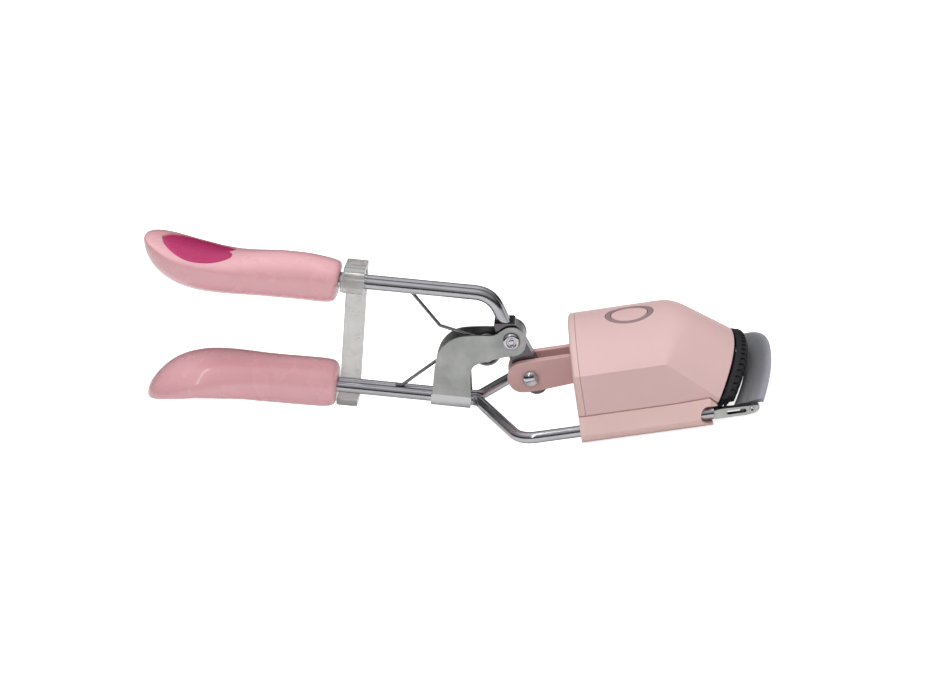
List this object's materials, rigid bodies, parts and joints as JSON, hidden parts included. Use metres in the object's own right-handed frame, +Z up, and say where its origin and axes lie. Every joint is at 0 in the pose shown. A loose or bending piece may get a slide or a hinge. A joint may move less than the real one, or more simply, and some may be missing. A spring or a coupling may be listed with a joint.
{
  "type": "heated eyelash curler",
  "caption": "Scissor-handled heated eyelash curler: sprung lever on a wire frame, a battery housing with a heated comb that slides along the frame wires onto a fixed curved jaw pad.",
  "frame": {"origin": "centre of the whole object's box at rest", "axes": "+X along the slide axis from the handles to the jaw, +Z up, out of the side with the power button and normal to the base plate, +Y across the jaw"},
  "size_m": [0.122, 0.0406, 0.0476],
  "materials": {
    "chrome": "mirror plated",
    "steel": "brushed",
    "dark_steel": "black nickel",
    "spring_wire": "drawn",
    "grip_pink": "gloss",
    "heart_magenta": "gloss",
    "housing_pink": "satin",
    "ring_mauve": "satin",
    "black_plastic": "satin",
    "smoke_silicone": "translucent",
    "clear_plastic": "clear",
    "board_green": "solder mask",
    "cell_wrap": "foil",
    "ceramic": "unglazed"
  },
  "bodies": {
    "frame": {"frame_wire_near": "chrome", "frame_wire_far": "chrome", "bracket": "steel", "pivot_pin": "chrome", "spring_post": "steel", "torsion_spring": "spring_wire", "lower_grip": "grip_pink", "lower_grip_inlay": "heart_magenta", "jaw_frame": "chrome", "jaw_pad": "smoke_silicone", "jaw_rivet_near": "steel", "jaw_rivet_far": "steel"},
    "lever": {"lever_wire_near": "chrome", "lever_wire_far": "chrome", "lever_head": "dark_steel", "crank_pin": "chrome", "upper_grip": "grip_pink", "upper_grip_inlay": "heart_magenta"},
    "slider": {"housing_shell": "housing_pink", "rear_cap": "housing_pink", "base_plate": "housing_pink", "base_screw_rear_near": "steel", "base_screw_rear_far": "steel", "base_screw_front_near": "steel", "base_screw_front_far": "steel", "ring_trim": "ring_mauve", "battery_cell": "cell_wrap", "circuit_board": "board_green", "push_switch": "black_plastic", "charge_port": "steel", "comb_holder": "black_plastic", "heating_comb": "black_plastic", "heater_plate": "ceramic"},
    "link": {"link_arm_near": "housing_pink", "link_arm_far": "housing_pink", "link_pin": "steel"},
    "button": {"power_button": "housing_pink"},
    "clip": {"handle_clip": "clear_plastic"}
  },
  "joints": [
    {"name": "lever_pivot", "type": "hinge", "parent": "frame", "child": "lever", "pos_m": [0.01224, 0, -0.00769], "axis": [0, -1, 0], "range_deg": [0, 9.6], "stiffness_Nm_per_rad": 0.02, "springref_deg": -17.19, "deforming": ["torsion_spring"]},
    {"name": "housing_slide", "type": "slide", "parent": "frame", "child": "slider", "axis": [1, 0, 0], "range_m": [0, 0.0013]},
    {"name": "link_swing", "type": "hinge", "parent": "slider", "child": "link", "pos_m": [0.02664, 0, -0.01529], "axis": [0, -1, 0], "range_deg": [-2.59, 0.05]},
    {"name": "button_press", "type": "slide", "parent": "slider", "child": "button", "axis": [0, 0, -1], "range_m": [0, 0.0004], "stiffness_N_per_m": 60, "springref_m": -0.0005},
    {"name": "clip_swing", "type": "hinge", "parent": "lever", "child": "clip", "pos_m": [-0.01504, 0, 0.00795], "axis": [0.9675, 0, -0.2529], "range_deg": [0, 100]}
  ],
  "couplings": [
    {"joint": "housing_slide", "follows": "lever_pivot", "m_per_rad": 0.0076541},
    {"joint": "link_swing", "follows": "lever_pivot", "ratio": -0.26459}
  ]
}
